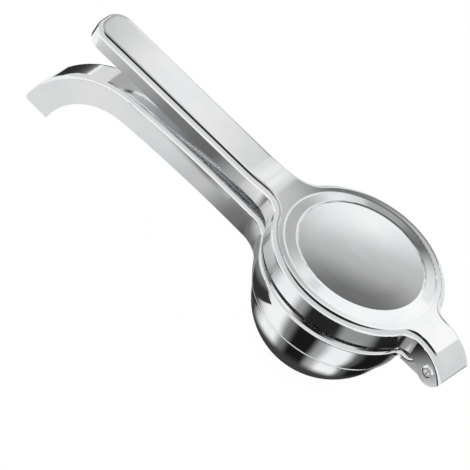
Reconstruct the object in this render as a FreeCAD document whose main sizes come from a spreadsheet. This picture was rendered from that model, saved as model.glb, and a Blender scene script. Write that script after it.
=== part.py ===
"""Hinged lemon squeezer: two stamped sheet levers, a drawn bowl, a press dome and a riveted hinge.

Frame: +Z up, origin where the axis of the bowl meets the table, +X towards the hinge, +-Y the two
mirrored sides. The squeezer is closed and stands on the flat bottom of its bowl and on its hook foot.
"""
import FreeCAD, Part
import math
import os

import Sketcher

os.makedirs("parts", exist_ok=True)

doc = FreeCAD.newDocument("LemonSqueezer")

# Driving dimensions in millimetres. Reaches are measured from the bowl axis, heights from the table.
SIZES = {
    "SheetWall": 1.5,           # sheet of both stamped levers
    "EdgeBend": 2.6,            # outer bend radius along the edges of the press lever
    "FrameEdge": 2.2,           # outer bend radius along the edges of the bowl lever
    "Overrun": 3.0,             # how far a cutting core runs past an open side
    # Ring of the bowl lever, the size that the whole head follows
    "RingRadius": 37.2,
    "RingBelly": 12.4,          # height over which the ring's wall curves in towards its foot
    "RingInset": 3.0,           # how far the curve comes in
    "RingStraight": 0.2,        # upright wall between that curve and the bend at the top
    # Bowl
    "RingLedge": 4.4,           # bowl's wall inside the ring's
    "BowlPlay": 0.2,            # radial play of the bowl in the ring
    "BowlWall": 1.2,
    "FootCut": 1.0,             # flat foot, this far up the bowl's round bottom
    "BowlSeat": 3.2,            # ring's foot below the centre of that round bottom
    "FlangeInset": 0.2,         # flange inside the ring's edge
    "BeadRadius": 0.9,          # rolled bead that locks the bowl under the ring
    "BeadPlay": 0.2,            # bead below the ring's foot
    "DrainRadius": 1.5,
    "DrainSpacing": 5.5,        # from one circle of drain holes to the next
    # Press dome
    "PressGap": 1.4,            # dome to bowl, all round
    "DomeWall": 1.2,
    "DomeRise": 11.7,           # centre of its round end above that of the bowl
    "DomePlay": 1.5,            # flange inside the head's skirt
    # Head of the press lever, the upper one
    "HeadOver": 1.0,            # head beyond the ring
    "HeadRise": 13.6,           # head's flat shoulder above the ring's top
    "HeadSkirt": 9.6,           # depth of the head's turned-down skirt
    "CrestInset": 10.1,         # crest around the dished disc, inside the head's edge
    "ShoulderWidth": 4.8,       # flat shoulder outside the slope of the crest
    "CrestHeight": 1.0,         # crest above the shoulder
    "CrestRound": 5.0,          # softening of the crest and of its foot
    "DishDepth": 0.9,           # middle of the disc below the crest
    # Handle of the press lever
    "PressReach": 142.6,        # bowl axis to handle tip
    "PressWidth": 19.2,
    "PressTipRound": 7.5,       # corner radius of the handle tip, in plan
    "PressSkirt": 7.7,          # depth of the handle's turned-down skirt
    "NeckDrop": 0.8,            # handle's top below the shoulder
    "NeckLead": 2.8,            # head's edge to the soft step in the neck
    "NeckLength": 15.0,         # length of that step
    "NeckRound": 13.0,          # hollow corner between handle and head, in plan
    # Hinge
    "HingeOut": 14.5,           # rivet axis beyond the ring
    "HingeRise": 3.6,           # rivet axis above the ring's top
    "PinRadius": 2.0,
    "PinPlay": 0.05,            # radial running clearance
    "PinHeadRadius": 2.75,
    "PinHeadHeight": 0.9,       # head above its seat
    "PinHeadCrown": 0.35,       # part of that height that is domed
    "DimpleRadius": 1.25,
    "DimpleDepth": 0.9,
    "BushWall": 0.85,
    "WasherEdge": 2.05,         # washer beyond the bore of the bush
    "WasherPlay": 0.1,          # side play between washer and ear
    # Nose of the press lever, whose sides are the hinge ears
    "NoseWidth": 19.6,
    "NoseRound": 6.5,           # hollow corner between head and nose, in plan
    "NoseLead": 9.7,            # start of the nose's downward curve before the rivet axis
    "NoseCurve": 20.7,          # outer radius of that curve
    "NoseOver": 7.2,            # end of the nose plate beyond the rivet axis
    "NoseSide": 10.9,           # depth of the nose sides before the ear lobes
    "EarRadius": 6.1,           # lobe around the rivet
    "EarShift": 0.9,            # centre of the lobe beyond the rivet
    "EarRound": 5.0,            # hollow corner between side and lobe
    "SeatPlay": 0.4,            # rivet head inside its shallow seat
    "SeatDepth": 0.35,
    # Tongue of the bowl lever
    "TongueWidth": 15.0,
    "TongueRound": 3.0,         # hollow corner between tongue and ring, in plan
    "TongueDepth": 3.4,         # tongue's lower edge below the ring's top
    "TongueSlope": 50.0,        # slope of the tongue's plate, in degrees
    "TongueBend": 3.0,          # bend radius at the foot of the slope
    "TongueStop": 5.2,          # end of the tongue's plate before the rivet axis
    "TongueLobe": 4.4,          # radius of the tongue's ends around the bush
    "TongueUnderSlope": 35.0,   # slope under the tongue's ends, the stop of the open lever, in degrees
    # Handle of the bowl lever
    "GripRootWidth": 20.0,      # width where it leaves the ring
    "GripEndWidth": 13.2,       # width at the hook's end
    "GripDepth": 12.4,          # depth of the channel
    "GripLead": 7.8,            # ring's edge to where the handle starts to bow down
    "GripRound": 13.0,          # hollow corner between handle and ring, in plan
    "HookReach": 106.9,         # bowl axis to the hook's centre
    "HookDrop": 3.1,            # top of the hook below the top of the ring
    "HookRadius": 43.9,
}

# Sizes that follow from the driving dimensions
DERIVED = {
    "BowlRadius": "RingRadius - RingLedge",
    "BowlFlange": "RingRadius - FlangeInset",
    "BowlCentre": "BowlRadius - FootCut",
    "DomeRadius": "BowlRadius - BowlWall - PressGap",
    "DomeCentre": "BowlCentre + DomeRise",
    "DomeFlange": "HeadRadius - SheetWall - DomePlay",
    "RingFoot": "BowlCentre - BowlSeat",
    "RingWaist": "RingFoot + RingBelly",
    "RingTop": "RingWaist + RingStraight + FrameEdge",
    "HeadRadius": "RingRadius + HeadOver",
    "HeadTop": "RingTop + HeadRise",
    "CrestRadius": "HeadRadius - CrestInset",
    "CrestFoot": "HeadRadius - ShoulderWidth",
    "PressTop": "HeadTop - NeckDrop",
    "NeckStart": "HeadRadius + NeckLead",
    "HingeReach": "RingRadius + HingeOut",
    "HingeHeight": "RingTop + HingeRise",
    "NoseFlat": "HingeReach - NoseLead",
    "NoseReach": "HingeReach + NoseOver",
    "SeatRadius": "PinHeadRadius + SeatPlay",
    "WasherRadius": "PinRadius + PinPlay + WasherEdge",
    "TongueFoot": "RingTop - TongueDepth",
    "TonguePlateEnd": "HingeReach - TongueStop",
    "GripFlat": "RingRadius + GripLead",
}

HOLES_IN_FIRST_CIRCLE = 6       # each further circle of drain holes has as many more
DRAIN_CIRCLES = ("inner", "middle", "outer")
LEVEL_TOLERANCE = 0.02          # how near an edge lies to the outline that it is picked by
SAME_POINT = 1e-6
STRAIGHT_ALONG = 0.999          # cosine above which a direction counts as along an axis

sheet = doc.addObject("Spreadsheet::Sheet", "Sizes")
for row, (alias, value) in enumerate(SIZES.items(), start=1):
    sheet.set(f"A{row}", alias)
    sheet.set(f"B{row}", str(value))
    sheet.setAlias(f"B{row}", alias)
doc.recompute()


def size(name):
    """The value of one driving dimension, or of a size that follows from them."""
    return amount(DERIVED[name]) if name in DERIVED else float(sheet.get(name))


def cells(text):
    """A sum of sizes, such as 'HeadRadius - SheetWall', as an expression of the sheet's cells."""
    words = []
    for word in text.split():
        if word in DERIVED:
            words.append(f"({cells(DERIVED[word])})")
        else:
            words.append(word if word in "+-" else f"Sizes.{word}")
    return " ".join(words)


def amount(text):
    """The value of such a sum."""
    total = 0.0
    sign = 1.0
    for word in text.split():
        if word in "+-":
            sign = 1.0 if word == "+" else -1.0
        else:
            total += sign * size(word)
    return total


def point(x, y):
    return FreeCAD.Vector(x, y, 0)


def polar(centre, radius, degrees):
    """A sketch point at a radius and angle from a centre."""
    angle = math.radians(degrees)
    return point(centre.x + radius * math.cos(angle), centre.y + radius * math.sin(angle))


def line(start, end):
    return Part.LineSegment(start, end)


def arc(centre, radius, from_degrees, to_degrees):
    """A counter-clockwise arc."""
    circle = Part.Circle(centre, FreeCAD.Vector(0, 0, 1), radius)
    return Part.ArcOfCircle(circle, math.radians(from_degrees), math.radians(to_degrees))


def direction(centre, target):
    """Angle of a target seen from a centre, in degrees."""
    return math.degrees(math.atan2(target.y - centre.y, target.x - centre.x))


def new_body(name):
    body = doc.addObject("PartDesign::Body", name)
    body.Label = name
    return body


def new_sketch(body, name, role, geometry, radii=(), place=None):
    """A sketch on one of the body's origin planes.

    radii binds the radius of a circle or arc to the table, and place binds the sketch's own offset.
    """
    sketch = body.newObject("Sketcher::SketchObject", name)
    plane = [feature for feature in body.Origin.OriginFeatures if feature.Role == role][0]
    sketch.AttachmentSupport = [(plane, "")]
    sketch.MapMode = "FlatFace"
    for axis, text in (place or {}).items():
        sketch.setExpression(f"AttachmentOffset.Base.{axis}", cells(text))
    sketch.addGeometry(geometry, False)
    join_ends(sketch, geometry)
    for index, text in radii:
        number = sketch.addConstraint(Sketcher.Constraint("Radius", index, amount(text)))
        sketch.setExpression(f"Constraints[{number}]", cells(text))
    doc.recompute()
    return sketch


def join_ends(sketch, geometry):
    """Coincident constraints wherever two open edges share an end."""
    ends = []
    for index, edge in enumerate(geometry):
        if isinstance(edge, Part.Circle):
            continue
        ends.append((index, 1, edge.StartPoint))
        ends.append((index, 2, edge.EndPoint))
    for number, (first, first_end, first_point) in enumerate(ends):
        for second, second_end, second_point in ends[number + 1:]:
            if first != second and first_point.distanceToPoint(second_point) < SAME_POINT:
                join = Sketcher.Constraint("Coincident", first, first_end, second, second_end)
                sketch.addConstraint(join)


def polygon(points):
    """Lines round a closed outline."""
    return [line(start, end) for start, end in zip(points, points[1:] + points[:1])]


def circle(radius, centre=None):
    return Part.Circle(centre or point(0, 0), FreeCAD.Vector(0, 0, 1), radius)


def pad(body, name, sketch, text):
    """Material from the sketch plane upwards."""
    feature = body.newObject("PartDesign::Pad", name)
    feature.Profile = sketch
    feature.Length = amount(text)
    feature.setExpression("Length", cells(text))
    doc.recompute()
    return feature


def pad_across(body, name, sketch, text):
    """Material to both sides of the sketch plane."""
    feature = pad(body, name, sketch, text)
    feature.SideType = "Symmetric"
    doc.recompute()
    return feature


def pocket_through(body, name, sketch):
    """A cut through everything, to both sides of the sketch plane; it has to remove material."""
    volume = body.Shape.Volume
    feature = body.newObject("PartDesign::Pocket", name)
    feature.Profile = sketch
    feature.SideType = "Symmetric"
    feature.Type = "ThroughAll"
    doc.recompute()
    if body.Shape.Volume >= volume:
        raise RuntimeError(f"{name} cuts nothing")
    return feature


def revolve(body, name, sketch, axis, kind="PartDesign::Revolution"):
    """A full turn about an axis of the sketch; a PartDesign::Groove takes that material away."""
    feature = body.newObject(kind, name)
    feature.Profile = sketch
    feature.ReferenceAxis = (sketch, [axis])
    feature.Angle = 360
    doc.recompute()
    return feature


def fillet(body, name, text, chosen):
    """Rounds the edges of the body's shape that a test chooses."""
    base = body.Tip
    names = [f"Edge{number}" for number, edge in enumerate(base.Shape.Edges, start=1)
             if not edge.Degenerated and chosen(edge)]
    if not names:
        raise RuntimeError(f"{name} finds no edge")
    feature = body.newObject("PartDesign::Fillet", name)
    feature.Base = (base, names)
    feature.Radius = amount(text)
    feature.setExpression("Radius", cells(text))
    doc.recompute()
    return feature


def middle(edge):
    return edge.valueAt((edge.FirstParameter + edge.LastParameter) / 2)


def is_upright(edge, x):
    """A straight edge along Z at this distance from the bowl axis."""
    if edge.Curve.TypeId != "Part::GeomLine":
        return False
    return abs(edge.Curve.Direction.z) > STRAIGHT_ALONG and abs(middle(edge).x - x) < LEVEL_TOLERANCE


def is_ring(edge, radius):
    """A circle about Z of this radius."""
    if edge.Curve.TypeId != "Part::GeomCircle":
        return False
    return abs(edge.Curve.Axis.z) > STRAIGHT_ALONG and abs(edge.Curve.Radius - radius) < LEVEL_TOLERANCE


def runs_across(edge):
    """A straight edge along Y."""
    if edge.Curve.TypeId != "Part::GeomLine":
        return False
    return abs(edge.Curve.Direction.y) > STRAIGHT_ALONG


def cut(name, base, tool):
    feature = doc.addObject("Part::Cut", name)
    feature.Label = name
    feature.Base = base
    feature.Tool = tool
    doc.recompute()
    return feature


# The hinge axis, seen from the side
HINGE = point(size("HingeReach"), size("HingeHeight"))


# Press lever

def soft_step(start_x, start_z, length, drop):
    """Two equal tangent arcs that lead from one level down to another, going towards -X."""
    radius = (length ** 2 + drop ** 2) / (4 * drop)
    half_turn = math.degrees(math.asin(length / 2 / radius))
    upper_centre = point(start_x, start_z - radius)
    lower_centre = point(start_x - length, start_z - drop + radius)
    upper = arc(upper_centre, radius, 90, 90 + half_turn)
    lower = arc(lower_centre, radius, 270, 270 + half_turn)
    return [upper, lower]


def press_top_cut(body, name, inset, extra):
    """Takes the space over the handle, the soft step and the curved nose."""
    high = size("HeadTop") + extra
    step_x = -size("NeckStart")
    drop = size("HeadTop") - size("PressTop")
    top = size("HeadTop") - inset
    step = soft_step(step_x, top, size("NeckLength"), drop)
    far_x = -size("PressReach") - extra
    low_x = step_x - size("NeckLength")
    over_handle = step + [
        line(point(low_x, top - drop), point(far_x, top - drop)),
        line(point(far_x, top - drop), point(far_x, high)),
        line(point(far_x, high), point(step_x, high)),
        line(point(step_x, high), point(step_x, top)),
    ]
    centre = point(size("NoseFlat"), size("HeadTop") - size("NoseCurve"))
    radius = size("NoseCurve") - inset
    end_x = centre.x + size("NoseCurve") + extra
    over_nose = [
        arc(centre, radius, 0, 90),
        line(point(centre.x, top), point(centre.x, high)),
        line(point(centre.x, high), point(end_x, high)),
        line(point(end_x, high), point(end_x, centre.y)),
        line(point(end_x, centre.y), point(centre.x + radius, centre.y)),
    ]
    bound = "NoseCurve" if inset == 0 else "NoseCurve - SheetWall"
    sketch = new_sketch(body, f"{name}_top_profile", "XZ_Plane", over_handle + over_nose,
                        radii=[(len(over_handle), bound)])
    pocket_through(body, f"{name}_top_cut", sketch)


def press_underside_cut(body):
    """Takes the space under the skirts, round the ear lobes and beyond the end of the nose."""
    extra = size("Overrun")
    low = size("HingeHeight") - size("EarRadius") - extra
    step_x = -size("NeckStart")
    low_x = step_x - size("NeckLength")
    head_foot = size("HeadTop") - size("HeadSkirt")
    grip_foot = size("PressTop") - size("PressSkirt")
    far_x = -size("PressReach") - extra
    under_handle = polygon([
        point(step_x, low),
        point(step_x, head_foot),
        point(low_x, grip_foot),
        point(far_x, grip_foot),
        point(far_x, low),
    ])
    lobe = point(HINGE.x + size("EarShift"), HINGE.y)
    side_foot = size("HeadTop") - size("NoseSide")
    hollow = size("EarRound")
    hollow_z = side_foot - hollow
    reach = size("EarRadius") + hollow
    hollow_centre = point(lobe.x - math.sqrt(reach ** 2 - (lobe.y - hollow_z) ** 2), hollow_z)
    touch = direction(lobe, hollow_centre)
    curve = point(size("NoseFlat"), size("HeadTop") - size("NoseCurve"))
    end_angle = math.degrees(math.acos((size("NoseReach") - curve.x) / size("NoseCurve")))
    plate_end = polar(curve, size("NoseCurve"), end_angle)
    beyond = polar(curve, size("NoseCurve") + extra, end_angle)
    lobe_end = tangent_angle(lobe, size("EarRadius"), plate_end)
    start_x = size("HeadRadius") - size("NoseRound")
    right_x = beyond.x + extra
    around_ear = [
        line(point(start_x, low), point(start_x, side_foot)),
        line(point(start_x, side_foot), point(hollow_centre.x, side_foot)),
        arc(hollow_centre, hollow, touch - 180, 90),
        arc(lobe, size("EarRadius"), touch, lobe_end),
        line(polar(lobe, size("EarRadius"), lobe_end), plate_end),
        line(plate_end, beyond),
        line(beyond, point(right_x, beyond.y)),
        line(point(right_x, beyond.y), point(right_x, low)),
        line(point(right_x, low), point(start_x, low)),
    ]
    first = len(under_handle)
    sketch = new_sketch(body, "press_underside_profile", "XZ_Plane", under_handle + around_ear,
                        radii=[(first + 2, "EarRound"), (first + 3, "EarRadius")])
    pocket_through(body, "press_underside_cut", sketch)


def tangent_angle(centre, radius, target):
    """Angle at which a tangent to a circle, going round counter-clockwise, leaves for a target."""
    distance = centre.distanceToPoint(target)
    return direction(centre, target) - math.degrees(math.acos(radius / distance))


def crest(body, name, inset):
    """The raised crest round the dished disc, one solid of revolution on top of the head."""
    shoulder = size("HeadTop") - inset
    root = shoulder - size("SheetWall") / 2
    peak = shoulder + size("CrestHeight")
    dish = size("DishDepth")
    rim = size("CrestRadius")
    radius = (rim ** 2 + dish ** 2) / (2 * dish)
    centre = point(0, peak - dish + radius)
    outline = [
        line(point(0, root), point(size("CrestFoot"), root)),
        line(point(size("CrestFoot"), root), point(size("CrestFoot"), shoulder)),
        line(point(size("CrestFoot"), shoulder), point(rim, peak)),
        arc(centre, radius, 270, direction(centre, point(rim, peak)) + 360),
        line(point(0, peak - dish), point(0, root)),
    ]
    sketch = new_sketch(body, f"{name}_crest_profile", "XZ_Plane", outline)
    revolve(body, f"{name}_crest", sketch, "V_Axis")
    for part, radius_there in (("peak", rim), ("foot", size("CrestFoot"))):
        fillet(body, f"{name}_crest_{part}", "CrestRound",
               lambda edge: is_ring(edge, radius_there) and middle(edge).z > shoulder - LEVEL_TOLERANCE)


def rivet_seat(body, name):
    """Bores both ears for the rivet and sinks a shallow seat for each of its heads."""
    half = size("NoseWidth") / 2
    seat = half - size("SeatDepth")
    past = half + size("Overrun")
    bore = size("PinRadius")
    wide = size("SeatRadius")
    outline = polygon([point(0, -past), point(wide, -past), point(wide, -seat), point(bore, -seat),
                       point(bore, seat), point(wide, seat), point(wide, past), point(0, past)])
    sketch = new_sketch(body, f"{name}_rivet_profile", "XY_Plane", outline,
                        place={"x": "HingeReach", "z": "HingeHeight"})
    volume = body.Shape.Volume
    revolve(body, f"{name}_rivet_seat", sketch, "V_Axis", "PartDesign::Groove")
    if body.Shape.Volume >= volume:
        raise RuntimeError(f"{name}_rivet_seat cuts nothing")


def press_block(name, inset):
    """The solid outer form of the press lever, or the same form one sheet thickness further in."""
    body = new_body(name)
    less = "" if inset == 0 else " - SheetWall"
    more = "" if inset == 0 else " + SheetWall"
    low = "HingeHeight - EarRadius - Overrun"
    full_height = f"HeadTop{less} - HingeHeight + EarRadius + Overrun"
    foot = "HeadTop - HeadSkirt" if inset == 0 else low
    height = "HeadSkirt" if inset == 0 else full_height
    head = new_sketch(body, f"{name}_head_plan", "XY_Plane", [circle(size("HeadRadius") - inset)],
                      radii=[(0, f"HeadRadius{less}")], place={"z": foot})
    pad(body, f"{name}_head", head, height)
    half = size("PressWidth") / 2 - inset
    tip_x = -size("PressReach") + inset
    grip_plan = polygon([point(0, -half), point(0, half), point(tip_x, half), point(tip_x, -half)])
    grip = new_sketch(body, f"{name}_grip_plan", "XY_Plane", grip_plan, place={"z": foot})
    pad(body, f"{name}_grip", grip, height)
    nose_half = size("NoseWidth") / 2 - inset
    nose_x = size("NoseReach") + (0 if inset == 0 else size("Overrun"))
    nose_plan = polygon([point(0, -nose_half), point(nose_x, -nose_half),
                         point(nose_x, nose_half), point(0, nose_half)])
    nose = new_sketch(body, f"{name}_nose_plan", "XY_Plane", nose_plan, place={"z": low})
    pad(body, f"{name}_nose", nose, full_height)
    radius = size("HeadRadius") - inset
    neck_x = -math.sqrt(radius ** 2 - half ** 2)
    brow_x = math.sqrt(radius ** 2 - nose_half ** 2)
    fillet(body, f"{name}_neck_round", f"NeckRound{more}", lambda edge: is_upright(edge, neck_x))
    fillet(body, f"{name}_brow_round", f"NoseRound{more}", lambda edge: is_upright(edge, brow_x))
    fillet(body, f"{name}_tip_round", f"PressTipRound{less}", lambda edge: is_upright(edge, tip_x))
    press_top_cut(body, name, inset, size("Overrun"))
    if inset == 0:
        press_underside_cut(body)
    curve = point(size("NoseFlat"), size("HeadTop") - size("NoseCurve"))
    curve_radius = size("NoseCurve") - inset

    def on_top_outline(edge):
        here = middle(edge)
        if runs_across(edge) and here.x > tip_x + LEVEL_TOLERANCE:
            return False
        if here.z > size("PressTop") - inset - LEVEL_TOLERANCE:
            return True
        on_curve = abs(math.hypot(here.x - curve.x, here.z - curve.y) - curve_radius) < LEVEL_TOLERANCE
        return on_curve and here.x > curve.x and here.z > curve.y and not runs_across(edge)

    fillet(body, f"{name}_edge_bend", f"EdgeBend{less}", on_top_outline)
    crest(body, name, inset)
    if inset == 0:
        rivet_seat(body, name)
    return body


def make_press_lever():
    """The outer form less the core inside its sheet."""
    return cut("press_lever", press_block("press_form", 0), press_block("press_core", size("SheetWall")))


# Bowl lever

# Radius of the curve in the ring's wall
RING_CURVE = (size("RingInset") ** 2 + size("RingBelly") ** 2) / (2 * size("RingInset"))


def ring_profile(inset, foot):
    """Half section of the ring: an upright wall that curves in towards its foot."""
    top = size("RingTop") - inset
    radius = size("RingRadius") - inset
    centre = point(size("RingRadius") - RING_CURVE, size("RingWaist"))
    belly = RING_CURVE - inset
    turn = math.degrees(math.asin((size("RingWaist") - foot) / belly))
    end = polar(centre, belly, -turn)
    return [
        line(point(0, top), point(0, foot)),
        line(point(0, foot), end),
        arc(centre, belly, 360 - turn, 360),
        line(point(radius, size("RingWaist")), point(radius, top)),
        line(point(radius, top), point(0, top)),
    ]


def grip_curve(inset, end_z):
    """Line and two tangent arcs along the lower handle and its hook, this far below their top."""
    flat = point(-size("GripFlat"), size("RingTop"))
    hook = point(-size("HookReach"), size("RingTop") - size("HookDrop") - size("HookRadius"))
    run = size("HookReach") - size("GripFlat")
    rise = flat.y - hook.y
    bow = (run ** 2 + rise ** 2 - size("HookRadius") ** 2) / (2 * (rise - size("HookRadius")))
    bow_centre = point(flat.x, flat.y - bow)
    lean = direction(bow_centre, hook)
    hook_radius = size("HookRadius") - inset
    end = 180 + math.degrees(math.asin((hook.y - end_z) / hook_radius))
    start = point(0, flat.y - inset)
    return [
        line(start, point(flat.x, flat.y - inset)),
        arc(bow_centre, bow - inset, 90, lean),
        arc(hook, hook_radius, lean, end),
    ], start, polar(hook, hook_radius, end)


def add_grip(body, name, inset):
    """The handle strip with its hook, tapered in plan."""
    end_z = 0 if inset == 0 else -size("Overrun")
    depth = size("GripDepth") if inset == 0 else size("GripDepth") + size("Overrun")
    upper, upper_start, upper_end = grip_curve(inset, end_z)
    lower, lower_start, lower_end = grip_curve(depth, end_z)
    outline = upper + lower + [line(upper_end, lower_end), line(lower_start, upper_start)]
    profile = new_sketch(body, f"{name}_grip_profile", "XZ_Plane", outline)
    pad_across(body, f"{name}_grip", profile, "TongueWidth + GripRootWidth")
    side = size("TongueWidth") + size("GripRootWidth")
    far_x = -size("HookReach") - size("HookRadius")
    root = -size("RingRadius")
    slope = (size("GripRootWidth") - size("GripEndWidth")) / 2 / (root - far_x)

    def half(x):
        return size("GripRootWidth") / 2 - inset + slope * (x - root)

    past = far_x - size("Overrun")
    taper = []
    for mirror in (1, -1):
        taper += polygon([point(0, mirror * half(0)), point(past, mirror * half(past)),
                          point(past, mirror * side), point(0, mirror * side)])
    plan = new_sketch(body, f"{name}_grip_plan", "XY_Plane", taper)
    pocket_through(body, f"{name}_grip_taper", plan)
    return half


def slope_line(offset):
    """A point on the tongue's sloping line, this far from the hinge axis, and its tangent."""
    angle = size("TongueSlope")
    return polar(HINGE, offset, angle + 90), math.tan(math.radians(angle))


def add_tongue(body, name, inset):
    """The tongue's sloping plate with its side walls, or the space inside them."""
    level = size("RingTop") - inset
    bend = size("TongueBend") + inset
    touch, steepness = slope_line(size("TongueLobe") + size("SheetWall") - inset)
    angle = size("TongueSlope")
    corner_x = touch.x - (touch.y - level) / steepness
    bend_x = corner_x - bend * math.tan(math.radians(angle / 2))
    bend_centre = point(bend_x, level + bend)
    bend_end = polar(bend_centre, bend, 270 + angle)
    plate_x = size("TonguePlateEnd")
    plate_end = point(plate_x, touch.y + (plate_x - touch.x) * steepness)
    outline = [
        line(point(0, level), point(bend_x, level)),
        arc(bend_centre, bend, 270, 270 + angle),
        line(bend_end, plate_end),
    ]
    if inset == 0:
        foot = size("TongueFoot")
        outline += [line(plate_end, point(plate_x, foot)), line(point(plate_x, foot), point(0, foot)),
                    line(point(0, foot), point(0, level))]
    else:
        foot = size("RingFoot")
        high = HINGE.y + size("HingeReach")
        far_x = HINGE.x + size("HingeReach")
        outline += [line(plate_end, point(plate_x, high)), line(point(plate_x, high), point(far_x, high)),
                    line(point(far_x, high), point(far_x, foot)), line(point(far_x, foot), point(0, foot)),
                    line(point(0, foot), point(0, level))]
    profile = new_sketch(body, f"{name}_tongue_profile", "XZ_Plane", outline)
    width = "TongueWidth" if inset == 0 else "TongueWidth - SheetWall - SheetWall"
    pad_across(body, f"{name}_tongue", profile, width)


def add_tongue_ends(body, name):
    """The two round ends of the tongue, which carry the bush; with the space between them still solid."""
    lobe = size("TongueLobe")
    under = size("TongueUnderSlope")
    foot = size("TongueFoot")
    low_touch = polar(HINGE, lobe, under - 90)
    corner_x = low_touch.x - (low_touch.y - foot) / math.tan(math.radians(under))
    high_touch, steepness = slope_line(lobe)
    root_x = size("TonguePlateEnd") - size("SheetWall")
    root_top = point(root_x, high_touch.y + (root_x - high_touch.x) * steepness)
    outline = [
        line(point(root_x, foot), point(corner_x, foot)),
        line(point(corner_x, foot), low_touch),
        arc(HINGE, lobe, under - 90, size("TongueSlope") + 90),
        line(high_touch, root_top),
        line(root_top, point(root_x, foot)),
    ]
    profile = new_sketch(body, f"{name}_lobe_profile", "XZ_Plane", outline, radii=[(2, "TongueLobe")])
    pad_across(body, f"{name}_lobes", profile, "TongueWidth")
    bore = new_sketch(body, f"{name}_bush_bore_plan", "XZ_Plane",
                      [circle(amount("PinRadius + PinPlay + BushWall"), HINGE)],
                      radii=[(0, "PinRadius + PinPlay + BushWall")])
    pocket_through(body, f"{name}_bush_bore", bore)


def bowl_block(name, inset):
    """The solid outer form of the bowl lever, or the same form one sheet thickness further in."""
    body = new_body(name)
    less = "" if inset == 0 else " - SheetWall"
    more = "" if inset == 0 else " + SheetWall"
    half = add_grip(body, name, inset)
    foot = size("RingFoot") if inset == 0 else size("RingFoot") - size("Overrun")
    ring = new_sketch(body, f"{name}_ring_profile", "XZ_Plane", ring_profile(inset, foot))
    revolve(body, f"{name}_ring", ring, "V_Axis")
    add_tongue(body, name, inset)
    top = size("RingTop") - inset
    radius = size("RingRadius") - inset
    tongue_half = size("TongueWidth") / 2 - inset
    tongue_x = math.sqrt(radius ** 2 - tongue_half ** 2)
    grip_bottom = size("RingTop") - size("GripDepth") - (0 if inset == 0 else size("Overrun"))

    def in_grip_corner(edge):
        here = middle(edge)
        on_side = abs(abs(here.y) - half(here.x)) < LEVEL_TOLERANCE
        at_ring = -radius < here.x < -radius / 2
        between = grip_bottom + LEVEL_TOLERANCE < here.z < top - LEVEL_TOLERANCE
        return on_side and at_ring and between

    fillet(body, f"{name}_grip_round", f"GripRound{more}", in_grip_corner)

    def in_tongue_corner(edge):
        return is_upright(edge, tongue_x) and abs(abs(middle(edge).y) - tongue_half) < LEVEL_TOLERANCE

    fillet(body, f"{name}_tongue_round", f"TongueRound{more}", in_tongue_corner)
    surface = top_surface_of_bowl_lever(inset)

    def on_top_outline(edge):
        return not runs_across(edge) and surface(middle(edge))

    fillet(body, f"{name}_top_bend", f"FrameEdge{less}", on_top_outline)
    if inset == 0:
        add_tongue_ends(body, name)
        hole = new_sketch(body, f"{name}_bowl_hole_plan", "XY_Plane",
                          [circle(amount("BowlRadius + BowlPlay"))],
                          radii=[(0, "BowlRadius + BowlPlay")])
        pocket_through(body, f"{name}_bowl_hole", hole)
    return body


def top_surface_of_bowl_lever(inset):
    """A test for points on the top of the bowl lever: its plate, its handle and its tongue."""
    level = size("RingTop") - inset
    curves, _, _ = grip_curve(inset, 0)
    _, bow, hook = curves
    touch, steepness = slope_line(size("TongueLobe") + size("SheetWall") - inset)
    bend = size("TongueBend") + inset

    def near(value):
        return abs(value) < LEVEL_TOLERANCE

    def on_top(here):
        if near(here.z - level):
            return True
        if here.x < 0:
            seen = point(here.x, here.z)
            on_bow = near(seen.distanceToPoint(bow.Center) - bow.Radius) and seen.x > hook.Center.x
            return on_bow or near(seen.distanceToPoint(hook.Center) - hook.Radius)
        on_slope = near(here.z - touch.y - (here.x - touch.x) * steepness)
        corner_x = touch.x - (touch.y - level) / steepness
        bend_x = corner_x - bend * math.tan(math.radians(size("TongueSlope") / 2))
        on_bend = near(math.hypot(here.x - bend_x, here.z - level - bend) - bend)
        return here.z > level and (on_slope or on_bend)

    return on_top


def make_bowl_lever():
    """The outer form less the core inside its sheet."""
    return cut("bowl_lever", bowl_block("frame_form", 0), bowl_block("frame_core", size("SheetWall")))


# Bowl and press dome

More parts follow.
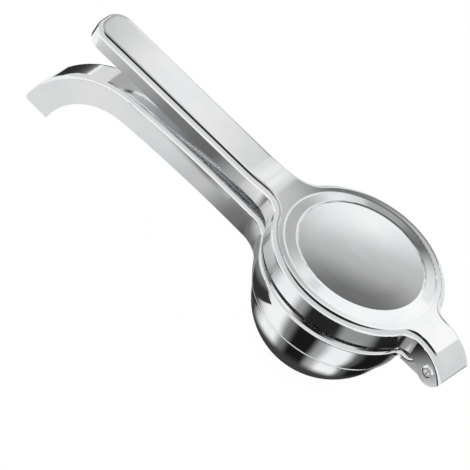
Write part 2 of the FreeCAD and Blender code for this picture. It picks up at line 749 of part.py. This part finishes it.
def make_squeeze_bowl():
    """Drawn bowl: flange on the ring, upright wall, locking bead, round bottom with drain holes."""
    body = new_body("squeeze_bowl")
    wall = size("BowlWall")
    radius = size("BowlRadius")
    centre = point(0, size("BowlCentre"))
    inner = radius - wall
    top = size("RingTop") + wall
    flange = size("BowlFlange")
    seat = size("RingTop")
    flat = math.degrees(math.asin(centre.y / radius))
    inner_flat = math.degrees(math.asin((centre.y - wall) / inner))
    bead_centre = point(radius, amount("RingFoot - BeadPlay - BeadRadius"))
    outline = [
        line(point(inner, centre.y), point(inner, top)),
        line(point(inner, top), point(flange, top)),
        line(point(flange, top), point(flange, seat)),
        line(point(flange, seat), point(radius, seat)),
        line(point(radius, seat), point(radius, centre.y)),
        arc(centre, radius, 360 - flat, 360),
        line(polar(centre, radius, -flat), point(0, 0)),
        line(point(0, 0), point(0, wall)),
        line(point(0, wall), polar(centre, inner, -inner_flat)),
        arc(centre, inner, 360 - inner_flat, 360),
    ]
    sketch = new_sketch(body, "bowl_profile", "XZ_Plane", outline,
                        radii=[(5, "BowlRadius"), (9, "BowlRadius - BowlWall")])
    revolve(body, "bowl_shell", sketch, "V_Axis")
    ring = new_sketch(body, "bead_profile", "XZ_Plane", [circle(size("BeadRadius"), bead_centre)],
                      radii=[(0, "BeadRadius")])
    revolve(body, "bead", ring, "V_Axis")
    for number, name in enumerate(DRAIN_CIRCLES, start=1):
        hole = new_sketch(body, f"drain_plan_{name}", "XY_Plane",
                          [circle(size("DrainRadius"), point(number * size("DrainSpacing"), 0))],
                          radii=[(0, "DrainRadius")])
        drain = pocket_through(body, f"drain_{name}", hole)
        pattern = body.newObject("PartDesign::PolarPattern", f"drains_{name}")
        pattern.Originals = [drain]
        pattern.Axis = ([f for f in body.Origin.OriginFeatures if f.Role == "Z_Axis"][0], [""])
        pattern.Angle = 360
        pattern.Occurrences = round(HOLES_IN_FIRST_CIRCLE * number)
        body.Tip = pattern
        doc.recompute()
    return body


def make_press_plunger():
    """Drawn dome under the head: flange against the head's plate, upright wall, round end."""
    body = new_body("press_plunger")
    wall = size("DomeWall")
    radius = size("DomeRadius")
    inner = radius - wall
    top = size("HeadTop") - size("SheetWall")
    centre = point(0, size("DomeCentre"))
    outline = [
        line(point(radius, centre.y), point(radius, top - wall)),
        line(point(radius, top - wall), point(size("DomeFlange"), top - wall)),
        line(point(size("DomeFlange"), top - wall), point(size("DomeFlange"), top)),
        line(point(size("DomeFlange"), top), point(inner, top)),
        line(point(inner, top), point(inner, centre.y)),
        arc(centre, inner, 270, 360),
        line(point(0, centre.y - inner), point(0, centre.y - radius)),
        arc(centre, radius, 270, 360),
    ]
    sketch = new_sketch(body, "plunger_profile", "XZ_Plane", outline,
                        radii=[(5, "DomeRadius - DomeWall"), (7, "DomeRadius")])
    revolve(body, "plunger_shell", sketch, "V_Axis")
    return body


# Hinge

def turned(name, outline):
    """A piece turned about the hinge axis; the sketch's own Y runs along that axis."""
    body = new_body(name)
    sketch = new_sketch(body, f"{name}_profile", "XY_Plane", outline,
                        place={"x": "HingeReach", "z": "HingeHeight"})
    revolve(body, f"{name}_turned", sketch, "V_Axis")
    return body


def rivet_head(seat, side):
    """Half outline of one dimpled head, from the shank out to the axis, on the side +1 or -1."""
    shank = size("PinRadius")
    wide = size("PinHeadRadius")
    rim = seat + size("PinHeadHeight") - size("PinHeadCrown")
    tip = seat + size("PinHeadHeight")
    lip = (size("DimpleRadius") + wide) / 2
    deep = tip - size("DimpleDepth")
    corners = [(shank, seat), (wide, seat), (wide, rim), (lip, tip), (size("DimpleRadius"), tip),
               (size("DimpleRadius") / 2, deep), (0, deep)]
    return [point(x, side * y) for x, y in corners]


def make_hinge_pin():
    seat = size("NoseWidth") / 2 - size("SeatDepth")
    near = rivet_head(seat, -1)
    far = rivet_head(seat, 1)
    return turned("hinge_pin", polygon(list(reversed(near)) + far))


def sleeve(name, inner, outer, low, high):
    """A plain ring on the hinge axis."""
    corners = [point(inner, low), point(outer, low), point(outer, high), point(inner, high)]
    return turned(name, polygon(corners))


def make_hinge_bush():
    inner = size("PinRadius") + size("PinPlay")
    half = size("TongueWidth") / 2
    return sleeve("hinge_bush", inner, inner + size("BushWall"), -half, half)


def make_hinge_washer(name, side):
    """A washer between the tongue and one ear, on the side +1 or -1."""
    inner = size("PinRadius") + size("PinPlay")
    tongue_face = size("TongueWidth") / 2
    ear_face = size("NoseWidth") / 2 - size("SheetWall")
    low, high = sorted((side * tongue_face, side * (ear_face - size("WasherPlay"))))
    return sleeve(name, inner, size("WasherRadius"), low, high)


def main():
    pieces = [
        make_press_lever(),
        make_press_plunger(),
        make_bowl_lever(),
        make_squeeze_bowl(),
        make_hinge_pin(),
        make_hinge_bush(),
        make_hinge_washer("hinge_washer_near", -1),
        make_hinge_washer("hinge_washer_far", 1),
    ]
    doc.recompute()
    for item in doc.Objects:
        if "Invalid" in item.State or "Error" in item.State:
            raise RuntimeError(f"{item.Name} failed: {item.State}")
    for piece in pieces:
        if piece.Shape.isNull() or not piece.Shape.isValid():
            raise RuntimeError(f"{piece.Label} has no valid shape")
    for piece in pieces:
        piece.Shape.exportStep(f"parts/{piece.Label}.step")
        print(piece.Label, len(piece.Shape.Solids), round(piece.Shape.Volume, 1), piece.Shape.BoundBox)


main()
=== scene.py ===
"""Looks of the hinged lemon squeezer: polished and satin stainless steel in a plain white studio."""
import math

import bpy
from mathutils import Matrix, Vector


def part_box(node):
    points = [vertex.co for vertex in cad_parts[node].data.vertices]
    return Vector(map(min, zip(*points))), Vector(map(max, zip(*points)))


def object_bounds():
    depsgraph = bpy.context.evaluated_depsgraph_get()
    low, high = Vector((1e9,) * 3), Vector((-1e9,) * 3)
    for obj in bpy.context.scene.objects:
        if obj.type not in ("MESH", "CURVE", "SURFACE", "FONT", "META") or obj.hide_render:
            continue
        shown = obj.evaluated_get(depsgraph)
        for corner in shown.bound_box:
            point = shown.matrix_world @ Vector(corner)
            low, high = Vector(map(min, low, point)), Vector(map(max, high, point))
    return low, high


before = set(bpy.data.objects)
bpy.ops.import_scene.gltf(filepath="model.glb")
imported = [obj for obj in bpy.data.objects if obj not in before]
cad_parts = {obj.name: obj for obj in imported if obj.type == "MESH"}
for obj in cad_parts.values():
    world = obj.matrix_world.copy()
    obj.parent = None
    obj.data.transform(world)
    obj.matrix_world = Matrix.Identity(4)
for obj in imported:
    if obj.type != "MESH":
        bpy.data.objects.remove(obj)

CAD_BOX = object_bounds()
TABLE_HEIGHT = CAD_BOX[0][2]


def box_top(node):
    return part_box(node)[1][2]


# The middle of the disc on the upper lever, which the camera and the softbox are set out from
DISC = Vector((0, 0, box_top("press_lever")))

# Camera of the photograph
PHOTO_WIDTH_PX = 470
AZIMUTH = math.radians(15)
ELEVATION = math.radians(41)
ROLL = math.radians(34)
DISTANCE = 8.0                  # metres from the disc to the camera
FAR_CLIP = 20
DISC_PIXEL = (361.3, 256.1)     # where the photograph shows the middle of the disc
PIXELS_PER_METRE = 2520
SENSOR_MM = 36


def make_camera():
    """A long lens from the photograph's side, rolled so that the handles point up and left."""
    level = Vector((math.cos(AZIMUTH), math.sin(AZIMUTH), 0))
    back = Vector((math.sin(AZIMUTH) * math.cos(ELEVATION),
                   -math.cos(AZIMUTH) * math.cos(ELEVATION),
                   math.sin(ELEVATION)))
    upright = back.cross(level)
    right = level * math.cos(ROLL) + upright * math.sin(ROLL)
    up = upright * math.cos(ROLL) - level * math.sin(ROLL)
    middle = PHOTO_WIDTH_PX / 2
    aside = (DISC_PIXEL[0] - middle) / PIXELS_PER_METRE
    below = (DISC_PIXEL[1] - middle) / PIXELS_PER_METRE
    place = DISC - right * aside + up * below + back * DISTANCE
    data = bpy.data.cameras.new("photo_camera")
    data.sensor_width = SENSOR_MM
    data.lens = SENSOR_MM * DISTANCE * PIXELS_PER_METRE / PHOTO_WIDTH_PX
    data.clip_end = FAR_CLIP
    camera = bpy.data.objects.new("photo_camera", data)
    camera.matrix_world = Matrix.Translation(place) @ Matrix((right, up, back)).transposed().to_4x4()
    bpy.context.scene.collection.objects.link(camera)
    bpy.context.scene.camera = camera


# Node helpers

def grey(level):
    return (level, level, level, 1)


class Tree:
    """The node tree of a material or a world, with short ways to add and join nodes."""

    def __init__(self, owner):
        owner.use_nodes = True
        self.owner = owner
        self.tree = owner.node_tree
        self.tree.nodes.clear()

    def node(self, kind, **settings):
        node = self.tree.nodes.new(kind)
        for name, value in settings.items():
            setattr(node, name, value)
        return node

    def join(self, source, target):
        self.tree.links.new(source, target)

    def feed(self, socket, value):
        """Joins an output to a socket, or sets the socket to a plain value."""
        if isinstance(value, bpy.types.NodeSocket):
            self.join(value, socket)
        else:
            socket.default_value = value

    def math(self, operation, first, second=0.0, third=0.0):
        node = self.node("ShaderNodeMath", operation=operation)
        for socket, value in zip(node.inputs, (first, second, third)):
            self.feed(socket, value)
        return node.outputs[0]

    def length(self, first, second):
        """Length of a vector with two parts."""
        squares = [self.math("MULTIPLY", value, value) for value in (first, second)]
        return self.math("SQRT", self.math("ADD", *squares))

    def range(self, value, low, high, to_low, to_high):
        """Maps one range of values smoothly onto another, whose ends may be outputs."""
        node = self.node("ShaderNodeMapRange", interpolation_type="SMOOTHSTEP")
        self.join(value, node.inputs["Value"])
        node.inputs["From Min"].default_value = low
        node.inputs["From Max"].default_value = high
        self.feed(node.inputs["To Min"], to_low)
        self.feed(node.inputs["To Max"], to_high)
        return node.outputs[0]

    def ramp(self, value, low, high, stops):
        """Colours at chosen places along a value from low to high, with smooth steps between them."""
        node = self.node("ShaderNodeValToRGB")
        node.color_ramp.interpolation = "EASE"
        elements = node.color_ramp.elements
        places = [(place - low) / (high - low) for place, _ in stops]
        elements[0].position = places[0]
        elements[0].color = stops[0][1]
        elements[1].position = places[-1]
        elements[1].color = stops[-1][1]
        for place, (_, colour) in list(zip(places, stops))[1:-1]:
            elements.new(place).color = colour
        scale = 1 / (high - low)
        self.join(self.math("MULTIPLY_ADD", value, scale, -low * scale), node.inputs["Fac"])
        return node.outputs["Color"]

    def greys(self, value, stops):
        """Grey levels at chosen places along a value, from the first place to the last."""
        return self.ramp(value, stops[0][0], stops[-1][0], [(place, grey(level)) for place, level in stops])

    def split(self, output):
        """X, Y and Z of a texture coordinate."""
        coordinates = self.node("ShaderNodeTexCoord")
        split = self.node("ShaderNodeSeparateXYZ")
        self.join(coordinates.outputs[output], split.inputs["Vector"])
        return split.outputs["X"], split.outputs["Y"], split.outputs["Z"]

    def noise(self, place, scale, stretch=(1, 1, 1), detail=2.0):
        """Noise, stretched where a factor is under 1."""
        mapping = self.node("ShaderNodeMapping")
        self.join(place, mapping.inputs["Vector"])
        mapping.inputs["Scale"].default_value = stretch
        noise = self.node("ShaderNodeTexNoise")
        noise.inputs["Scale"].default_value = scale
        noise.inputs["Detail"].default_value = detail
        self.join(mapping.outputs["Vector"], noise.inputs["Vector"])
        return noise.outputs[0]

    def show(self, shader):
        """Shows a shader on the surface, and returns the finished material."""
        output = self.node("ShaderNodeOutputMaterial")
        self.join(shader, output.inputs["Surface"])
        return self.owner


# Steel

# Roughness, and strength of the bump
POLISHED = (0.07, 0.015)        # the buffed outside
SATIN = (0.24, 0.1)             # the inner and turned pieces

# Parts of the roughness: the same everywhere, and added by the clouds, the lines and the scratches
EVEN_PART = 0.75
CLOUD_PART = 0.5
LINE_PART = 0.3
SCRATCH_PART = 0.8

# Value of the clouds' noise, and the colour there
TINTS = [(0.3, (0.82, 0.825, 0.835, 1)), (0.7, (0.90, 0.90, 0.905, 1))]

LINES_PER_METRE = 2600
LINE_STRETCH = 0.02             # a line is about 50 times as long as it is wide
CLOUDS_PER_METRE = 45
CLOUD_DETAIL = 4.0
SCRATCHES_PER_METRE = 700
SCRATCH_STRETCH = (0.03, 1.0, 1.0)
SCRATCH_DETAIL = 1.0
SCRATCH_EDGE = (0.70, 0.76)     # values of the noise between which a scratch begins
SCRATCH_DEPTH = 0.4             # where the noise of the lines goes from 0 to 1
BUMP_DISTANCE = 0.00005


def lines_along(tree, place, axis):
    """Fine polishing lines, stretched along one axis."""
    stretch = [1.0, 1.0, 1.0]
    stretch["XYZ".index(axis)] = LINE_STRETCH
    return tree.noise(place, LINES_PER_METRE, stretch)


def lines_around(tree, place, axis):
    """Fine turning lines round an axis."""
    split = tree.node("ShaderNodeSeparateXYZ")
    tree.join(place, split.inputs["Vector"])
    across = [split.outputs[name] for name in "XYZ" if name != axis]
    join = tree.node("ShaderNodeCombineXYZ")
    tree.join(tree.length(*across), join.inputs["X"])
    tree.join(split.outputs[axis], join.inputs["Z"])
    return tree.noise(join.outputs["Vector"], LINES_PER_METRE)


def make_steel(name, finish, lines, axis, centre=(0, 0, 0)):
    """Stainless steel with polishing lines, cloudy wiping marks, short scratches and a slight tint."""
    roughness, strength = finish
    tree = Tree(bpy.data.materials.new(name))
    coordinates = tree.node("ShaderNodeTexCoord")
    shift = tree.node("ShaderNodeMapping")
    tree.join(coordinates.outputs["Object"], shift.inputs["Vector"])
    shift.inputs["Location"].default_value = [-value for value in centre]
    place = shift.outputs["Vector"]
    grain = lines(tree, place, axis)
    clouds = tree.noise(place, CLOUDS_PER_METRE, detail=CLOUD_DETAIL)
    marks = tree.noise(place, SCRATCHES_PER_METRE, SCRATCH_STRETCH, SCRATCH_DETAIL)
    scratches = tree.range(marks, *SCRATCH_EDGE, 0.0, 1.0)
    tint = tree.ramp(clouds, 0.0, 1.0, TINTS)
    rough = tree.math("MULTIPLY_ADD", clouds, roughness * CLOUD_PART, roughness * EVEN_PART)
    rough = tree.math("MULTIPLY_ADD", grain, roughness * LINE_PART, rough)
    rough = tree.math("MULTIPLY_ADD", scratches, roughness * SCRATCH_PART, rough)
    height = tree.math("SUBTRACT", grain, tree.math("MULTIPLY", scratches, SCRATCH_DEPTH))
    relief = tree.node("ShaderNodeBump")
    relief.inputs["Strength"].default_value = strength
    relief.inputs["Distance"].default_value = BUMP_DISTANCE
    tree.join(height, relief.inputs["Height"])
    shader = tree.node("ShaderNodeBsdfPrincipled")
    shader.inputs["Metallic"].default_value = 1.0
    tree.join(tint, shader.inputs["Base Color"])
    tree.join(rough, shader.inputs["Roughness"])
    tree.join(relief.outputs["Normal"], shader.inputs["Normal"])
    return tree.show(shader.outputs["BSDF"])


def middle_of(node):
    low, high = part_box(node)
    return [(a + b) / 2 for a, b in zip(low, high)]


def dress_nodes():
    """Each CAD node gets its own steel."""
    hinge = middle_of("hinge_bush")
    looks = {
        "press_lever": make_steel("press_lever_steel", POLISHED, lines_along, "X"),
        "bowl_lever": make_steel("bowl_lever_steel", POLISHED, lines_along, "X"),
        "squeeze_bowl": make_steel("bowl_steel", POLISHED, lines_around, "Z"),
        "press_plunger": make_steel("plunger_steel", SATIN, lines_around, "Z"),
        "hinge_pin": make_steel("pin_steel", POLISHED, lines_around, "Y", hinge),
        "hinge_bush": make_steel("bush_steel", SATIN, lines_around, "Y", hinge),
        "hinge_washer_near": make_steel("washer_near_steel", SATIN, lines_around, "Y", hinge),
        "hinge_washer_far": make_steel("washer_far_steel", SATIN, lines_around, "Y", hinge),
    }
    for name, material in looks.items():
        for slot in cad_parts[name].material_slots:
            slot.material = material


# Studio

def make_stage_piece(name, corners, material):
    """A flat piece of the studio, which isn't part of the object."""
    mesh = bpy.data.meshes.new(name)
    mesh.from_pydata(corners, [], [tuple(range(len(corners)))])
    mesh.materials.append(material)
    piece = bpy.data.objects.new(name, mesh)
    bpy.context.scene.collection.objects.link(piece)
    return piece


def rectangle(left, near, right, far, height):
    return [(left, near, height), (right, near, height), (right, far, height), (left, far, height)]


def square(half, height):
    return rectangle(-half, -half, half, half, height)


def make_card(name, corners, level):
    """A card that only the polished steel mirrors. Its glow is worked out from its own X and Y."""
    tree = Tree(bpy.data.materials.new(name))
    x, y, _ = tree.split("Object")
    glow = tree.node("ShaderNodeEmission")
    tree.join(level(tree, x, y), glow.inputs["Strength"])
    card = make_stage_piece(name, corners, tree.show(glow.outputs["Emission"]))
    card.visible_camera = False
    card.visible_diffuse = False
    card.visible_shadow = False
    card.visible_transmission = False
    card.visible_volume_scatter = False
    return card


FLOOR_HALF = 3.0
FLOOR_DROP = 0.0001             # under the object's lowest point
FLOOR_GLOW = 0.94               # share of the floor's white that no shadow darkens
FLOOR_STRENGTH = 1.03           # over 1, to make up for what the other share lacks


def make_floor():
    """A flat white floor that keeps a faint shadow."""
    tree = Tree(bpy.data.materials.new("floor_white"))
    diffuse = tree.node("ShaderNodeBsdfDiffuse")
    diffuse.inputs["Color"].default_value = grey(1.0)
    glow = tree.node("ShaderNodeEmission")
    glow.inputs["Strength"].default_value = FLOOR_STRENGTH
    path = tree.node("ShaderNodeLightPath")
    seen = tree.math("MAXIMUM", path.outputs["Is Camera Ray"], path.outputs["Is Glossy Ray"])
    seen = tree.math("MAXIMUM", seen, path.outputs["Is Transmission Ray"])
    mix = tree.node("ShaderNodeMixShader")
    tree.join(tree.math("MULTIPLY", seen, FLOOR_GLOW), mix.inputs[0])
    tree.join(diffuse.outputs["BSDF"], mix.inputs[1])
    tree.join(glow.outputs["Emission"], mix.inputs[2])
    material = tree.show(mix.outputs["Shader"])
    make_stage_piece("floor", square(FLOOR_HALF, TABLE_HEIGHT - FLOOR_DROP), material)


CARD_HEIGHT = TABLE_HEIGHT + 0.0005
CARD_STEP = 0.0001              # between the heights of cards that overlap

# The round card: azimuth in degrees round the bowl, and the brightness there
CARD_RADIUS = 0.13
CORNER_STEP = 15                # degrees
CLOSE_ROUND_BOWL = [
    (-180, 0.3), (-155, 0.05), (-121, 1.0), (-107, 1.0), (-94, 0.2), (-84, 0.01), (-68, 0.01), (-58, 0.4),
    (-46, 1.0), (-32, 1.0), (-20, 0.1), (-10, 0.01), (12, 0.01), (30, 0.4), (50, 0.1), (140, 0.1), (180, 0.3)]
FAR_ROUND_BOWL = [
    (-180, 0.5), (-150, 0.4), (-140, 0.6), (-125, 1.0), (-108, 1.0), (-96, 0.35), (-84, 0.02), (-56, 0.02),
    (-46, 0.32), (-22, 0.30), (-8, 0.02), (8, 0.02), (25, 0.3), (60, 0.7), (180, 0.5)]
CLOSE_TO_FAR = (0.080, 0.092)   # radii between which the close levels give way to the far ones
PAINTED_SHADOW_UNDER_BOWL = (0.026, 0.036)     # radii between which the painted shadow under the bowl ends
# Darkness of the painted shadow: the card goes dark under the bowl, where the bowl's shadow on the table
# falls
PAINTED_SHADOW_LEVEL = 0.05

# The other cards: left, near, right and far edge
LOWER_HANDLE_CARD = (-0.17, -0.055, -0.034, -0.004)
UPPER_HANDLE_CARD = (-0.18, -0.090, -0.070, -0.051)
BEHIND_HOOK_CARD = (-0.45, 0.02, -0.16, 0.40)
BEHIND_NOSE_CARD = (0.08, 0.03, 0.30, 0.30)

# X on the handles' cards, and the brightness there
LOWER_HANDLE_GLOW = [(-0.17, 0.80), (-0.105, 0.78), (-0.083, 0.6), (-0.062, 0.18), (-0.048, 0.035),
                     (-0.034, 0.035)]
UPPER_HANDLE_GLOW = [(-0.18, 0.8), (-0.155, 0.7), (-0.13, 0.4), (-0.11, 0.2), (-0.088, 0.14), (-0.07, 0.5)]

# From one X to another, and the brightness at both
BEHIND_HOOK_GLOW = (-0.45, -0.16, 0.3, 0.03)
BEHIND_NOSE_GLOW = (0.09, 0.16, 0.1, 1.0)


def level_round_bowl(tree, x, y):
    """Light and dark sectors round the bowl, which its wall, the ring and the head mirror as soft bands, and
    a painted shadow under the bowl.
    """
    azimuth = tree.math("ARCTAN2", y, x)
    radius = tree.length(x, y)
    close, far = [tree.greys(azimuth, [(math.radians(place), level) for place, level in ring])
                  for ring in (CLOSE_ROUND_BOWL, FAR_ROUND_BOWL)]
    outside = tree.range(radius, *CLOSE_TO_FAR, close, far)
    # Painted shadow: the card goes dark under the bowl, where the bowl's shadow on the table falls
    return tree.range(radius, *PAINTED_SHADOW_UNDER_BOWL, PAINTED_SHADOW_LEVEL, outside)


def make_table_cards():
    """Cards flat on the table, for the upright walls."""
    turns = [math.radians(azimuth) for azimuth in range(0, 360, CORNER_STEP)]
    make_card("card_round_bowl",
              [(CARD_RADIUS * math.cos(turn), CARD_RADIUS * math.sin(turn), CARD_HEIGHT) for turn in turns],
              level_round_bowl)
    above = CARD_HEIGHT + CARD_STEP
    topmost = CARD_HEIGHT + 2 * CARD_STEP
    make_card("card_lower_handle", rectangle(*LOWER_HANDLE_CARD, above),
              lambda tree, x, y: tree.greys(x, LOWER_HANDLE_GLOW))
    make_card("card_upper_handle", rectangle(*UPPER_HANDLE_CARD, topmost),
              lambda tree, x, y: tree.greys(x, UPPER_HANDLE_GLOW))
    make_card("card_behind_hook", rectangle(*BEHIND_HOOK_CARD, above),
              lambda tree, x, y: tree.range(x, *BEHIND_HOOK_GLOW))
    make_card("card_behind_nose", rectangle(*BEHIND_NOSE_CARD, above),
              lambda tree, x, y: tree.range(x, *BEHIND_NOSE_GLOW))


# The softbox, with places on it in metres from its middle
SOFTBOX_DISTANCE = 0.6
SOFTBOX_HALF = 0.42

# Places from bottom to top, and the brightness there, for the disc
DISC_GLOW = [(-SOFTBOX_HALF, 0.45), (-0.235, 0.42), (-0.14, 0.13), (-0.05, 0.13), (0.0, 0.55), (0.05, 1.05),
             (0.36, 1.05), (0.40, 0.02), (SOFTBOX_HALF, 0.02)]
DISC_SLOPE = 1.1                # turns the gradient in the dished disc level in the rolled picture
DISC_REACH = 0.05               # how far across that slope goes on

# Places across, and the brightness there, for the upper handle
HANDLE_GLOW = [(-SOFTBOX_HALF, 0.40), (-0.168, 0.50), (-0.10, 0.95), (-0.06, 0.80), (SOFTBOX_HALF, 0.80)]
HANDLE_TO_DISC = (-0.058, -0.034)
NECK_MIDDLE = -0.040            # of the light spot for the neck
NECK_SPOT = (0.010, 0.030)      # radii between which it fades
NECK_LEVEL = 0.60
SIDE_EDGE = (0.067, 0.168)      # places across between which the light side begins
SIDE_LEVEL = 0.9


def softbox_level(tree, across, along):
    """Brightness over the softbox: a soft sunset for the disc, light for handle and neck, a light side."""
    nearby = tree.math("MINIMUM", tree.math("MAXIMUM", across, -DISC_REACH), DISC_REACH)
    disc = tree.greys(tree.math("MULTIPLY_ADD", nearby, DISC_SLOPE, along), DISC_GLOW)
    from_neck = tree.length(tree.math("SUBTRACT", across, NECK_MIDDLE), along)
    neck = tree.range(from_neck, *NECK_SPOT, NECK_LEVEL, 0.0)
    disc = tree.math("MAXIMUM", disc, neck)
    handle = tree.greys(across, HANDLE_GLOW)
    side = tree.range(across, *SIDE_EDGE, 0.0, SIDE_LEVEL)
    return tree.math("MAXIMUM", tree.range(across, *HANDLE_TO_DISC, handle, disc), side)


def make_softbox():
    """The graded light that the flat tops mirror, behind the set at the camera's own elevation."""
    azimuth = math.radians(90) + AZIMUTH
    away = Vector((math.cos(azimuth) * math.cos(ELEVATION),
                   math.sin(azimuth) * math.cos(ELEVATION),
                   math.sin(ELEVATION)))
    aside = Vector((math.cos(AZIMUTH), math.sin(AZIMUTH), 0))
    up = aside.cross(away)
    softbox = make_card("softbox", square(SOFTBOX_HALF, 0), softbox_level)
    turn = Matrix((aside, up, aside.cross(up))).transposed().to_4x4()
    softbox.matrix_world = Matrix.Translation(DISC + away * SOFTBOX_DISTANCE) @ turn


SKY_LEVEL = 0.95
SKY_ZENITH = 0.02               # dark ceiling straight above the set
SKY_EDGE = (0.82, 0.91)         # heights on the unit sphere between which the ceiling darkens


def make_sky():
    """A pale studio with a dark ceiling, which the camera itself sees as plain white."""
    world = bpy.data.worlds.new("studio")
    bpy.context.scene.world = world
    tree = Tree(world)
    _, _, height = tree.split("Generated")
    path = tree.node("ShaderNodeLightPath")
    background = tree.node("ShaderNodeBackground")
    sky = tree.range(height, *SKY_EDGE, SKY_LEVEL, SKY_ZENITH)
    tree.join(tree.math("MAXIMUM", sky, path.outputs["Is Camera Ray"]), background.inputs["Strength"])
    output = tree.node("ShaderNodeOutputWorld")
    tree.join(background.outputs["Background"], output.inputs["Surface"])


make_camera()
bpy.context.scene.view_settings.view_transform = "Standard"
dress_nodes()
make_floor()
make_table_cards()
make_softbox()
make_sky()
